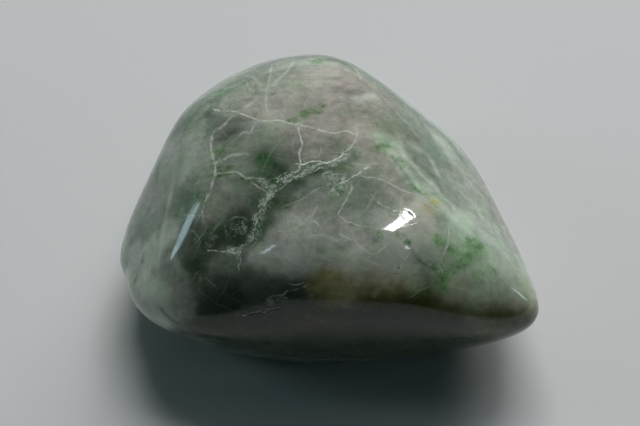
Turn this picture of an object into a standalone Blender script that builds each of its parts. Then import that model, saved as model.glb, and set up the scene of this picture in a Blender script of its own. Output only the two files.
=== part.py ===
# A palm-sized jade stone, tumbled smooth: one natural piece and one closed solid.
#
# The form is a handful of worn facets that melt into each other, as on a water-worn or
# tumbled cobble. Each facet is a plane at a bearing (azimuth and elevation, in degrees)
# and a distance (in millimetres) from the heart, a point deep inside the stone.
# Metres, +Z up. The origin is under the middle of the stone's outline, on the plane that
# the stone rests on; +X is its long way, and the pointed end is at +X.

import math

import bmesh
import bpy
from mathutils import Vector, noise

MM = 0.001

# Driving dimensions, in millimetres
HEART = Vector((0.75, -2.6, 15.0))     # where the facets' distances are measured from
EDGE_WEAR = 1.6                        # how softly one facet rolls into the next
UNDULATIONS = ((13.0, 0.22), (6.0, 0.06))    # (wavelength, height) of the polished surface's waves
REACH = 60.0                           # farther than any point of the stone from its heart

# Facets: azimuth, elevation and distance from the heart
FACETS = {
    "crownBack": (118, 80, 14.7),
    "crownFront": (248, 78, 19.1),
    "crownRight": (20, 74, 18.0),
    "brow": (256, 40, 21.5),
    "prow": (300, 48, 22.4),
    "leftBrow": (237, 36, 25.8),
    "rightShoulder": (25, 47, 17.6),
    "rightWall": (20, 12, 23.0),
    "backRight": (51, 21, 20.2),
    "back": (98, 30, 24.5),
    "backLeft": (127, 25, 25.8),
    "topBack": (110, 55, 21.1),
    "leftBack": (156, 11, 26.9),
    "left": (179, 4, 34.3),
    "leftSlope": (184, 38, 24.1),
    "leftTop": (208, 62, 20.2),
    "lowerLeft": (221, -21, 30.9),
    "frontLeft": (253, -24, 24.2),
    "front": (270, 4, 22.0),
    "frontRight": (282, -25, 23.8),
    "tip": (328, -2, 36.7),
    "tipUnder": (343, -45, 26.9),
    "frontUnder": (266, -48, 23.7),
    "rightUnder": (35, -42, 20.8),
    "backUnder": (95, -42, 22.5),
    "leftUnder": (182, -48, 26.4),
    "base": (0, -90, 15.3),
}

# Hollows: centre from the heart, width and depth
HOLLOWS = {
    "notch": ((-29.3, -10.8, -5.4), 2.4, 1.0),
    "notchPit": ((-27.6, -8.6, -1.6), 1.6, 0.5),
    "darkPocket": ((-14.8, -11.4, 11.4), 5.0, 0.5),
    "rightHollow": ((20.0, -6.0, 9.0), 6.0, 0.5),
    "frontHollow": ((-3.0, -20.0, 2.0), 7.0, 0.3),
}

# The mesh: how finely each side of the starting cube is divided, and how the stone is
# longer than it is deep and deeper than it is high, so that the grid lies evenly on it
GRID_CUTS = 25
GRID_SPREAD = Vector((1.25, 1.0, 0.75))
HALVINGS = 30                          # steps in which a point is brought to the surface

# Polished grey-green jade
JADE_COLOUR = (0.16, 0.19, 0.15, 1.0)
JADE_ROUGHNESS = 0.12


def bearing(azimuth, elevation):
    """The unit vector at an azimuth and an elevation given in degrees."""
    turn = math.radians(azimuth)
    rise = math.radians(elevation)
    return Vector((math.cos(rise) * math.cos(turn), math.cos(rise) * math.sin(turn), math.sin(rise)))


PLANES = [(bearing(azimuth, elevation), distance) for azimuth, elevation, distance in FACETS.values()]


def facet_depth(point):
    """Height of a point over the rounded union of the facets; negative inside the stone."""
    heights = [normal.dot(point) - distance for normal, distance in PLANES]
    highest = max(heights)
    blend = sum(math.exp((height - highest) / EDGE_WEAR) for height in heights)
    return highest + EDGE_WEAR * math.log(blend)


def hollow_depth(point):
    """How deep the hollows cut at a point."""
    depth = 0.0
    for centre, width, deepest in HOLLOWS.values():
        apart = (point - Vector(centre)).length_squared
        depth += deepest * math.exp(-apart / (2.0 * width * width))
    return depth


def undulation(point):
    """The slow waves that tumbling leaves on a polished stone."""
    return sum(height * noise.noise(point / wavelength) for wavelength, height in UNDULATIONS)


def surface_height(point):
    return facet_depth(point) + hollow_depth(point) + undulation(point)


def distance_to_surface(direction):
    """How far the stone reaches from its heart along a direction."""
    near = 0.0
    far = REACH
    for _ in range(HALVINGS):
        middle = (near + far) / 2.0
        if surface_height(direction * middle) < 0.0:
            near = middle
        else:
            far = middle
    return (near + far) / 2.0


def even_direction(corner):
    """Turns a point of the cube's grid into a direction, so that the grid spreads evenly."""
    spread = [math.tan(side * math.pi / 4.0) * weight for side, weight in zip(corner, GRID_SPREAD)]
    return Vector(spread).normalized()


def build_stone():
    mesh = bpy.data.meshes.new("jade_stone")
    grid = bmesh.new()
    bmesh.ops.create_cube(grid, size=2.0)
    bmesh.ops.subdivide_edges(grid, edges=grid.edges[:], cuts=GRID_CUTS, use_grid_fill=True)
    for vertex in grid.verts:
        direction = even_direction(vertex.co)
        vertex.co = HEART + direction * distance_to_surface(direction)
        vertex.co.z = max(vertex.co.z, 0.0)      # the worn flat that the stone rests on
    bmesh.ops.scale(grid, vec=(MM, MM, MM), verts=grid.verts)
    bmesh.ops.triangulate(grid, faces=grid.faces[:], quad_method="SHORT_EDGE")
    bmesh.ops.recalc_face_normals(grid, faces=grid.faces[:])
    grid.to_mesh(mesh)
    grid.free()
    mesh.shade_smooth()
    stone = bpy.data.objects.new("jade_stone", mesh)
    bpy.context.scene.collection.objects.link(stone)
    return stone


def polished_jade():
    material = bpy.data.materials.new("polished_jade")
    material.use_nodes = True
    shader = material.node_tree.nodes["Principled BSDF"]
    shader.inputs["Base Color"].default_value = JADE_COLOUR
    shader.inputs["Roughness"].default_value = JADE_ROUGHNESS
    shader.inputs["Metallic"].default_value = 0.0
    return material


for old in list(bpy.data.objects):
    bpy.data.objects.remove(old)

stone = build_stone()
stone.data.materials.append(polished_jade())
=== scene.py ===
import math

import bmesh
import bpy
import numpy as np
from mathutils import Matrix, Vector, geometry, noise
from mathutils.bvhtree import BVHTree
from mathutils.kdtree import KDTree


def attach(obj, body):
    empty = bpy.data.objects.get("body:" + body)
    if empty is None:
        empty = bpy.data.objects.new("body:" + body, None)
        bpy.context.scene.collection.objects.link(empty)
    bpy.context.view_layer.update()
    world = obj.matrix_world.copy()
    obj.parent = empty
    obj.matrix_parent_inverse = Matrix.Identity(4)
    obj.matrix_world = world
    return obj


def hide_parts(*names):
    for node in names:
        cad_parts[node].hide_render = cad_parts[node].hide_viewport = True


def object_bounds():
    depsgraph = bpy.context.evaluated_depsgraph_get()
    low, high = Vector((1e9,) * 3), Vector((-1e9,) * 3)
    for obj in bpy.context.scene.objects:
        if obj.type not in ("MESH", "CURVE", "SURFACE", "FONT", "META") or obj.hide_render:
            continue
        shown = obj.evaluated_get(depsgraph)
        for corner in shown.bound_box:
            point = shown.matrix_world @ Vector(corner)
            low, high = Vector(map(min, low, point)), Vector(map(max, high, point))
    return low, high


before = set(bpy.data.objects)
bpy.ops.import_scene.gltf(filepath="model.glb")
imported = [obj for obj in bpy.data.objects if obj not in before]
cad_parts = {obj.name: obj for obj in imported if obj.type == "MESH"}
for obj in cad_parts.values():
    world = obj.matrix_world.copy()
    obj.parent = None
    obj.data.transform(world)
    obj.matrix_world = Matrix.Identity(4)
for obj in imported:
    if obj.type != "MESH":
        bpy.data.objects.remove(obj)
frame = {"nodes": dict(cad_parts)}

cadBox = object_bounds()
mm = 0.001
print("frame loaded:", ", ".join(frame["nodes"]))


# the view: a close look down on the stone's steep side

view = {
    "picture": (640, 426),       # width and height in pixels
    "heartAt": (332, 210),       # where the stone's heart lies in it
    "elevation": 60.0,           # degrees over the table, looking along +Y
    "distance": 300.0,           # mm from the heart
    "scale": 6.84,               # pixels for each mm at the heart
    "sensor": 36.0,              # mm
    "nearClip": 0.01,            # m
}

# the stone's form: facets at a bearing (azimuth, elevation) and a distance from the heart, in mm

form = {
    "heart": Vector((0.75, -2.6, 15.0)),
    "edgeWear": 1.6,             # how softly two facets meet
    "undulations": ((13.0, 0.22), (6.0, 0.06)),   # wavelength and height of the skin's slow waves
    "facets": {
        "crownBack": (118, 80, 14.7),
        "crownFront": (248, 78, 19.1),
        "crownRight": (20, 74, 18.0),
        "brow": (256, 40, 21.5),
        "prow": (300, 48, 22.4),
        "leftBrow": (237, 36, 25.8),
        "rightShoulder": (25, 47, 17.6),
        "rightWall": (20, 12, 23.0),
        "backRight": (51, 21, 20.2),
        "back": (98, 30, 24.5),
        "backLeft": (127, 25, 25.8),
        "topBack": (110, 55, 21.1),
        "leftBack": (156, 11, 26.9),
        "left": (179, 4, 34.3),
        "leftSlope": (184, 38, 24.1),
        "leftTop": (208, 62, 20.2),
        "lowerLeft": (221, -21, 30.9),
        "frontLeft": (253, -24, 24.2),
        "front": (270, 4, 22.0),
        "frontRight": (282, -25, 23.8),
        "tip": (328, -2, 36.7),
        "tipUnder": (343, -45, 26.9),
        "frontUnder": (266, -48, 23.7),
        "rightUnder": (35, -42, 20.8),
        "backUnder": (95, -42, 22.5),
        "leftUnder": (182, -48, 26.4),
        "base": (0, -90, 15.3),
    },
    "hollows": {                 # centre from the heart, width and depth
        "notch": ((-29.3, -10.8, -5.4), 2.4, 1.0),
        "notchPit": ((-27.6, -8.6, -1.6), 1.6, 0.5),
        "darkPocket": ((-14.8, -11.4, 11.4), 5.0, 0.5),
        "rightHollow": ((20.0, -6.0, 9.0), 6.0, 0.5),
        "frontHollow": ((-3.0, -20.0, 2.0), 7.0, 0.3),
    },
    "gridCuts": 107,
    "gridSpread": Vector((1.25, 1.0, 0.75)),      # evens out the grid on a long, low stone
    "searchReach": 60.0,         # the skin is looked for this far from the heart
    "searchHalvings": 26,
    "waveSteps": 2,              # the waves are low, so two steps settle them
    "slopeStep": 0.05,
}


def bearing(azimuth, elevation):
    turn, rise = math.radians(azimuth), math.radians(elevation)
    level = math.cos(rise)
    return Vector((level * math.cos(turn), level * math.sin(turn), math.sin(rise)))


facets = form["facets"].values()
facetNormals = np.array([bearing(azimuth, elevation) for azimuth, elevation, distance in facets])
facetDistances = np.array([distance for azimuth, elevation, distance in facets])


def squaredGap(points, place):  # squared distance of each point from a place
    return ((points - np.array(place)) ** 2).sum(axis=1)


def unit(vectors):
    return vectors / np.linalg.norm(vectors, axis=1, keepdims=True)


def wornHeight(points):  # facets and hollows, for an array of points in mm
    heights = points @ facetNormals.T - facetDistances
    highest = heights.max(axis=1)
    softened = np.exp((heights - highest[:, None]) / form["edgeWear"]).sum(axis=1)
    result = highest + form["edgeWear"] * np.log(softened)
    for centre, width, depth in form["hollows"].values():
        result += depth * np.exp(-squaredGap(points, centre) / (2.0 * width * width))
    return result


def undulation(points):
    waves = np.zeros(len(points))
    for wavelength, height in form["undulations"]:
        waves += [height * noise.noise(Vector(point) / wavelength) for point in points]
    return waves


def surfaceDistance(directions):  # from the heart to the skin, halved in step by step
    near = np.zeros(len(directions))
    far = np.full(len(directions), form["searchReach"])
    for halving in range(form["searchHalvings"]):
        middle = (near + far) / 2.0
        inside = wornHeight(directions * middle[:, None]) < 0.0
        near = np.where(inside, middle, near)
        far = np.where(inside, far, middle)
    reach = (near + far) / 2.0
    step = form["slopeStep"]
    for correction in range(form["waveSteps"]):
        here = directions * reach[:, None]
        slope = (wornHeight(here + directions * step) - wornHeight(here)) / step
        reach -= (wornHeight(here) + undulation(here)) / slope
    return reach


def gridDirections(corners):  # spreads the cube's grid evenly over the stone
    return unit(np.tan(corners * math.pi / 4.0) * np.array(form["gridSpread"]))


def meshPoints(mesh):
    flat = np.empty(len(mesh.vertices) * 3)
    mesh.vertices.foreach_get("co", flat)
    return flat.reshape(-1, 3)


def setMeshPoints(mesh, points):
    mesh.vertices.foreach_set("co", points.ravel())
    mesh.update()


def formStone(grid, name):  # the grid's vertices put on the worn surface, in metres
    mesh = bpy.data.meshes.new(name)
    grid.to_mesh(mesh)
    directions = gridDirections(meshPoints(mesh))
    points = np.array(form["heart"]) + directions * surfaceDistance(directions)[:, None]
    points[:, 2] = np.maximum(points[:, 2], 0.0)
    setMeshPoints(mesh, points * mm)
    return mesh


grid = bmesh.new()
bmesh.ops.create_cube(grid, size=2.0)
bmesh.ops.subdivide_edges(grid, edges=grid.edges[:], cuts=form["gridCuts"], use_grid_fill=True)
grid.verts.index_update()
roughOut = formStone(grid, "roughOut")
stonePoints = meshPoints(roughOut) / mm
print("stone formed:", len(stonePoints), "points")


# places on the stone, given as pixels of the view

tilt = math.radians(view["elevation"])
lookAlong = Vector((0.0, math.cos(tilt), -math.sin(tilt)))
viewUp = Vector((0.0, math.sin(tilt), math.cos(tilt)))
viewRight = Vector((1.0, 0.0, 0.0))
eye = form["heart"] - lookAlong * view["distance"]

finder = bmesh.new()
finder.from_mesh(roughOut)
stoneTree = BVHTree.FromBMesh(finder)
finder.free()


def seenAt(across, down):  # the point in mm that a pixel of the view shows
    right = (across - view["heartAt"][0]) / view["scale"]
    rise = (view["heartAt"][1] - down) / view["scale"]
    ray = (lookAlong * view["distance"] + viewRight * right + viewUp * rise).normalized()
    place, normal, face, distance = stoneTree.ray_cast(eye * mm, ray)
    if place is None:  # just past the outline: the nearest point of the stone
        place, normal, face, distance = stoneTree.find_nearest((eye + ray * view["distance"]) * mm)
    return place / mm


def atBearing(azimuth, elevation):  # the same for a side that the view doesn't show
    ray = bearing(azimuth, elevation)
    place, normal, face, distance = stoneTree.ray_cast(form["heart"] * mm, ray)
    return place / mm


crown = seenAt(*view["heartAt"])
print("places found, for instance the crown at", [round(value, 1) for value in crown])


# the stone's marks: places and routes are pixels of the view, sizes are mm, colours are linear

tints = {
    "roseGrey": (0.43, 0.385, 0.35),
    "mauveGrey": (0.20, 0.19, 0.175),
    "warmGrey": (0.255, 0.26, 0.215),
    "midGrey": (0.15, 0.175, 0.14),
    "darkGrey": (0.09, 0.105, 0.083),
    # painted shade: the underside's grey, darkened for the shade under the stone
    "paintedUnderShade": (0.045, 0.062, 0.036),
    # the stone's own black-green, also used as painted shade on the underside
    "blackGreenAndUnderShade": (0.026, 0.040, 0.024),
    "paleGrey": (0.30, 0.312, 0.275),
    "slopeGrey": (0.42, 0.445, 0.385),
    "cream": (0.42, 0.44, 0.37),
    "milk": (0.46, 0.50, 0.44),
    "milkGreen": (0.355, 0.405, 0.345),
    "paleGreen": (0.37, 0.45, 0.355),
    "greyGreen": (0.235, 0.275, 0.225),
    "slateGreen": (0.14, 0.20, 0.15),
    # pale milk; on the left lobe it is also painted light, for the light falling on that side
    "milkAndLobeLight": (0.50, 0.57, 0.47),
    # warm brown, made darker as painted shade where the front rolls away from the light
    "brownAndShade": (0.27, 0.245, 0.105),
    # dark olive of the stone, made darker as painted shade where the front turns down from the
    # light
    "olive": (0.058, 0.064, 0.006),
    "brownGrey": (0.36, 0.38, 0.26),
    "peach": (0.45, 0.34, 0.22),
    "ochre": (0.42, 0.38, 0.10),
    "rust": (0.13, 0.085, 0.06),
    "white": (0.72, 0.75, 0.69),
    "jadeLine": (0.16, 0.26, 0.15),
    "jadeGreen": (0.31, 0.43, 0.28),
    "mossShade": (0.045, 0.078, 0.045),
}

# wide zones of colour, each with a radius; they share the surface between them
zones = {
    "roseGrey": [(320, 85, 4.0), (296, 96, 3.4), (345, 74, 2.6), (352, 128, 2.0)],
    "warmGrey": [
        (248, 142, 1.5), (300, 68, 2.2), (268, 74, 2.6), (240, 94, 2.8), (345, 110, 2.2),
        (320, 122, 2.6), (258, 104, 2.0), (385, 120, 2.4), (395, 182, 2.2), (368, 150, 2.4)],
    "mauveGrey": [(352, 91, 1.4), (300, 136, 1.6)],
    "midGrey": [
        (310, 203, 1.6), (300, 141, 1.5), (236, 257, 1.4), (226, 263, 1.8), (256, 283, 1.8),
        (182, 331, 1.5), (196, 338, 1.5), (235, 195, 2.8), (222, 185, 2.0), (330, 145, 2.2),
        (335, 203, 2.4), (368, 192, 2.4), (212, 207, 2.4), (250, 145, 2.4), (240, 165, 2.2),
        (320, 182, 2.0), (182, 285, 1.6)],
    "darkGrey": [
        (232, 128, 2.2), (247, 118, 1.4), (265, 215, 1.4), (288, 198, 1.3), (256, 292, 1.6),
        (200, 240, 2.0), (188, 252, 1.8), (255, 195, 2.0), (285, 152, 2.0), (318, 172, 1.6),
        (205, 290, 2.0)],
    # the first three places lie on the under face and are painted shade; the rest are the stone's
    # own black-green
    "blackGreenAndUnderShade": [
        (390, 324, 2.8), (420, 326, 2.8), (450, 326, 2.4), (232, 230, 2.6), (246, 226, 1.4),
        (210, 241, 1.6), (250, 299, 3.0), (222, 302, 2.2), (264, 157, 1.2), (272, 169, 1.4),
        (192, 264, 1.4), (300, 181, 0.9)],
    "paleGrey": [
        (312, 252, 1.8), (286, 240, 2.6), (310, 234, 2.6), (350, 232, 2.6), (312, 216, 2.2),
        (372, 222, 2.2), (180, 296, 1.8)],
    "slopeGrey": [
        (262, 258, 2.0), (288, 254, 1.8), (338, 250, 1.8), (365, 260, 3.0), (388, 258, 2.6),
        (412, 250, 2.0), (412, 268, 2.0)],
    "cream": [
        (420, 230, 2.4), (428, 242, 1.6), (360, 158, 1.3), (390, 260, 1.6), (366, 262, 1.6),
        (352, 120, 1.2)],
    "paleGreen": [(468, 228, 2.6), (500, 268, 3.2), (480, 288, 2.8), (512, 284, 2.6)],
    "greyGreen": [
        (204, 154, 2.0), (199, 186, 2.0), (158, 200, 2.6), (410, 180, 1.4), (450, 192, 2.0),
        (415, 157, 1.8), (445, 215, 1.6), (420, 270, 2.0), (172, 270, 2.0)],
    "slateGreen": [
        (203, 110, 2.2), (163, 172, 1.6), (192, 201, 2.0), (222, 92, 2.0), (404, 122, 2.0),
        (436, 152, 1.6), (149, 222, 1.6), (183, 125, 2.2)],
    "milkGreen": [
        (182, 150, 2.4), (184, 170, 1.8), (172, 162, 1.6), (165, 232, 1.4), (150, 256, 2.0),
        (470, 185, 2.0), (480, 202, 2.0), (492, 232, 2.4), (432, 196, 1.6), (455, 155, 2.4)],
    # painted light: the lobe's milky colour made paler for the light on the left side
    "milkAndLobeLight": [(150, 297, 2.4), (137, 290, 1.4), (158, 322, 1.4)],
    "jadeGreen": [
        (441, 240, 1.2), (468, 256, 1.8), (453, 270, 1.6), (492, 276, 1.9), (416, 258, 0.9),
        (444, 284, 1.4)],
    # partly painted shade: the front's roll-over, darker as it turns from the light
    "brownAndShade": [(332, 285, 1.8), (366, 283, 1.8), (396, 284, 2.0)],
    "brownGrey": [
        (500, 298, 3.2), (468, 296, 3.0), (450, 290, 2.0), (412, 281, 1.4), (520, 300, 2.0)],
    # partly painted shade: the front's lower edge, darkened where it turns from the light
    "olive": [(400, 298, 1.6), (425, 300, 2.2), (446, 309, 1.6), (375, 297, 1.4), (500, 316, 2.4)],
    # painted shade: the face under the stone, turned away from the light
    "paintedUnderShade": [
        (230, 326, 3.5), (300, 330, 4.5), (380, 340, 3.6), (450, 340, 3.6), (510, 333, 2.6)],
}

# the same for the sides turned away, as bearings from the heart
farZones = {
    "roseGrey": [(90, 60, 5.0)],
    "warmGrey": [(60, 48, 5.0), (0, 12, 4.0)],
    "midGrey": [(110, 0, 5.0), (20, -12, 4.0), (100, -35, 5.0), (90, -65, 6.0)],
    "darkGrey": [(50, -35, 5.0), (300, -45, 4.0), (270, -80, 5.0)],
    "paleGrey": [(140, 40, 4.0), (70, -20, 4.0)],
    "greyGreen": [(120, 42, 5.0), (130, 12, 5.0), (85, -12, 5.0), (215, -35, 4.0), (180, -60, 6.0)],
    "slateGreen": [(75, 18, 4.0), (150, -30, 5.0)],
    "milkGreen": [(100, 25, 5.0), (55, 5, 5.0), (0, -22, 4.0)],
    "paleGreen": [(152, 0, 4.0), (38, -8, 4.0), (190, -28, 4.0)],
    # painted shade under the tip
    "olive": [(330, -38, 4.0)],
    # painted shade on the underside
    "paintedUnderShade": [(260, -50, 5.0), (0, -62, 6.0)],
}


# soft bands, laid over the zones: tint, radius, strength and the route
bands = {
    "milkEdge": ("milk", 0.42, 0.85, [
        (378, 142), (392, 143), (399, 146), (402, 151), (405, 157), (412, 163), (419, 172),
        (427, 180), (433, 184), (438, 191), (444, 198), (454, 207)]),
    "milkSmear": ("milkAndLobeLight", 1.0, 0.6, [(378, 136), (390, 139), (402, 147)]),
    "leftPale": ("paleGrey", 1.3, 0.6, [(178, 138), (170, 158), (160, 180)]),
    "warmLeft": ("warmGrey", 1.4, 0.7, [(222, 190), (216, 200), (212, 210)]),
    "palePatch": ("milkGreen", 1.0, 0.75, [(456, 224), (464, 231), (472, 240), (480, 243)]),
    "tipHaze": ("milkAndLobeLight", 1.8, 0.5, [(496, 262), (510, 276), (520, 288)]),
    "milkEdgeLow": ("milk", 0.6, 0.5, [(454, 207), (472, 223), (492, 241), (508, 256), (520, 268)]),
    "greenFill": ("milkAndLobeLight", 0.9, 0.6, [
        (390, 150), (402, 165), (412, 178), (422, 190), (437, 202), (456, 218)]),
    "greenFillEdge": ("slateGreen", 0.25, 0.7, [
        (392, 156), (404, 172), (414, 186), (426, 198), (437, 207)]),
    "grayGap": ("midGrey", 0.6, 0.5, [(407, 149), (418, 160), (428, 170), (434, 177)]),
    "outerBand": ("milkGreen", 0.35, 0.6, [
        (403, 137), (412, 145), (425, 153), (434, 164), (438, 171)]),
    "outerKnot": ("milk", 0.35, 0.6, [(432, 162), (436, 170), (440, 176)]),
    "darkRill": ("slateGreen", 0.45, 0.6, [(421, 122), (428, 132), (434, 144)]),
    "darkRillLow": ("slateGreen", 0.4, 0.6, [(440, 180), (451, 191), (464, 202), (478, 216)]),
    "paleRim": ("milkGreen", 1.4, 0.42, [
        (440, 132), (462, 154), (480, 182), (494, 212), (508, 246)]),
    "starRays": ("milk", 0.4, 0.7, [(469, 181), (474, 188), (481, 194), (486, 200)]),
    "crestRight": ("slateGreen", 1.4, 0.88, [
        (352, 66), (372, 78), (392, 94), (412, 110), (430, 124), (448, 140), (462, 158)]),
    "crestTop": ("darkGrey", 1.5, 0.85, [(262, 66), (280, 60), (300, 57), (322, 56), (345, 62)]),
    "crestLeft": ("slateGreen", 0.8, 0.6, [(186, 112), (205, 98), (228, 86), (248, 76), (266, 69)]),
    "leftHollow": ("darkGrey", 0.9, 0.6, [(205, 112), (216, 117), (226, 122), (238, 119)]),
    "edgeShade": ("greyGreen", 1.1, 0.75, [(486, 196), (498, 222), (508, 246), (518, 264)]),
    "mauveBand": ("mauveGrey", 0.7, 0.7, [(334, 89), (347, 90), (362, 92)]),
    "greyArc": ("midGrey", 0.22, 0.5, [(345, 112), (356, 111), (366, 113), (374, 118), (378, 126)]),
    "paleSmudge": ("milk", 0.75, 0.75, [(357, 99), (365, 98), (373, 96)]),
    "smudgeTail": ("paleGrey", 0.4, 0.6, [(340, 99), (350, 99), (358, 99)]),
    # painted reflection: a pale band where the left face turns away and mirrors the bright table
    "leftGrazingReflection": ("milk", 0.5, 0.75, [
        (172, 188), (169, 201), (166, 214), (164, 226), (162, 239), (160, 251), (157, 263)]),
    "leftShade": ("midGrey", 0.4, 0.6, [(165, 204), (163, 215), (160, 226), (157, 238)]),
    "leftHaze": ("paleGrey", 0.7, 0.5, [(208, 105), (198, 117), (188, 131), (180, 145)]),
    "leftHazeTwo": ("paleGrey", 0.5, 0.5, [(214, 112), (203, 124), (195, 134)]),
    # milky lobe, made paler as painted light
    "lobeMilkAndLight": ("milkAndLobeLight", 0.9, 0.8, [
        (136, 288), (145, 296), (143, 307), (151, 318), (160, 325)]),
    # painted reflection: a dark line where the polish mirrors the edge of the table's shadow
    "lobeShadowReflection": ("darkGrey", 0.35, 0.75, [
        (161, 309), (167, 316), (177, 323), (187, 326), (200, 331), (225, 335)]),
    "oliveEdge": ("brownGrey", 0.3, 0.6, [(374, 296), (386, 281), (398, 273), (406, 280)]),
    "hubGround": ("mossShade", 1.5, 0.75, [
        (262, 158), (268, 170), (272, 184), (271, 198), (266, 210), (261, 222), (258, 234)]),
    "seamGround": ("mossShade", 1.1, 0.6, [
        (284, 182), (298, 174), (312, 169), (328, 167), (342, 163), (354, 158)]),
    "crossGround": ("mossShade", 0.7, 0.4, [(238, 178), (252, 181), (264, 185), (274, 192)]),
    # these two are painted shade along the front's lower edge, over its dark olive
    "oliveHaze": ("olive", 1.4, 0.38, [(446, 304), (464, 305), (486, 308), (500, 309)]),
    "tipShade": ("olive", 0.8, 0.6, [(446, 309), (470, 313), (498, 315), (524, 312)]),
}

# small stains, and rightDark, which is painted shade: tint, radius, strength and places
stains = {
    "peachSmear": ("peach", 0.6, 0.42, [(250, 113), (257, 114), (264, 116), (271, 119)]),
    "orangeStain": ("peach", 1.0, 0.75, [(427, 213)]),
    "ochreSpot": ("ochre", 0.65, 0.75, [(434, 203), (430, 200)]),
    "darkFleck": ("blackGreenAndUnderShade", 0.16, 0.9, [(431, 221), (241, 260), (291, 137)]),
    "starFleck": ("darkGrey", 0.25, 0.8, [(258, 94), (266, 84), (262, 79), (270, 93)]),
    "softShade": ("midGrey", 0.85, 0.5, [
        (335, 232), (352, 226), (378, 238), (318, 254), (364, 231), (300, 263), (346, 247)]),
    "gapShade": ("blackGreenAndUnderShade", 0.32, 0.8, [(308, 172), (312, 170), (317, 168), (322, 166)]),
    "knotPale": ("milkGreen", 0.45, 0.7, [(327, 175), (332, 190), (337, 184)]),
    "leftShadow": ("darkGrey", 0.85, 0.8, [(209, 113), (216, 120), (211, 127)]),
    # painted shade where the front turns down from the light
    "rightDark": ("olive", 0.9, 0.5, [(402, 296), (418, 298), (434, 300)]),
    "starCore": ("darkGrey", 0.35, 0.7, [(261, 88)]),
    "sidePits": ("olive", 0.65, 0.9, [(140, 260), (137, 274), (134, 281)]),
    "rustStain": ("rust", 1.3, 0.35, [(308, 325), (316, 323), (267, 347)]),
    "amberStain": ("peach", 0.9, 0.35, [(331, 287), (326, 281)]),
    "slateSpot": ("slateGreen", 0.9, 0.7, [(215, 117), (212, 124)]),
    "blackSpot": ("blackGreenAndUnderShade", 0.8, 0.5, [(246, 118), (230, 131), (225, 136)]),
}

# green growths: radius and how far they fill in
moss = [
    (222, 152, 1.2, 0.9), (215, 164, 1.1, 0.95), (222, 170, 1.3, 0.9), (231, 166, 0.9, 0.8),
    (208, 172, 1.0, 0.75), (264, 158, 1.2, 0.8), (252, 178, 0.8, 0.8), (245, 178, 0.6, 0.7),
    (271, 184, 1.1, 0.9), (262, 200, 1.2, 0.8), (257, 226, 0.9, 0.7), (272, 204, 1.2, 0.8),
    (283, 206, 1.0, 0.7), (295, 202, 0.7, 0.6), (268, 168, 1.0, 0.7), (307, 115, 0.7, 0.9),
    (314, 110, 0.8, 1.0), (299, 121, 0.7, 0.8), (321, 104, 0.6, 0.7), (326, 98, 0.8, 0.4),
    (290, 126, 0.5, 0.6), (315, 60, 1.5, 0.8), (326, 59, 1.2, 0.6), (381, 150, 1.1, 0.9),
    (397, 161, 1.1, 0.6), (404, 168, 0.8, 0.5), (418, 191, 1.0, 0.9), (424, 196, 0.8, 0.6),
    (440, 238, 1.5, 0.75), (450, 246, 1.1, 0.7), (436, 234, 1.0, 0.5), (474, 249, 1.6, 0.8),
    (466, 252, 1.4, 0.7), (463, 262, 1.6, 0.75), (456, 270, 1.4, 0.7), (415, 255, 1.1, 0.7),
    (408, 242, 0.6, 0.9), (402, 235, 0.6, 0.7), (426, 265, 0.8, 0.8), (437, 271, 1.0, 0.9),
    (494, 273, 1.9, 0.5), (508, 270, 1.2, 0.3), (480, 276, 2.0, 0.4), (384, 238, 0.8, 0.7),
    (349, 228, 0.8, 0.5), (350, 214, 0.7, 0.35), (449, 168, 1.0, 0.9), (438, 154, 1.2, 0.6),
    (443, 281, 1.3, 0.9), (189, 267, 1.5, 0.6), (206, 236, 1.0, 0.8), (215, 228, 0.9, 0.8),
    (224, 219, 0.6, 0.9), (200, 199, 1.4, 0.6), (197, 182, 1.0, 0.6), (330, 171, 1.2, 0.6),
    (345, 167, 1.5, 0.6), (357, 152, 1.2, 0.5), (338, 187, 1.3, 0.7), (328, 193, 1.0, 0.5),
    (220, 92, 1.4, 0.5), (424, 296, 1.6, 0.4), (366, 360, 2.0, 0.5), (320, 105, 0.5, 0.5),
    (186, 118, 1.2, 0.4), (201, 241, 1.6, 0.6), (197, 262, 1.6, 0.55), (206, 285, 1.6, 0.45),
    (183, 262, 1.2, 0.5),
]

farMoss = [
    (84, 24, 1.8, 0.7), (92, 20, 1.4, 0.8), (118, 12, 1.6, 0.8), (128, 26, 1.2, 0.6),
    (60, 10, 1.6, 0.6), (104, -6, 1.8, 0.7), (150, -8, 1.6, 0.7), (172, -14, 1.3, 0.6),
    (38, 0, 1.5, 0.7), (46, -14, 1.6, 0.6), (130, -20, 1.5, 0.6), (8, -12, 1.4, 0.5),
    (70, -30, 1.6, 0.6), (200, -22, 1.4, 0.5), (232, -34, 1.5, 0.5),
]

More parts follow.
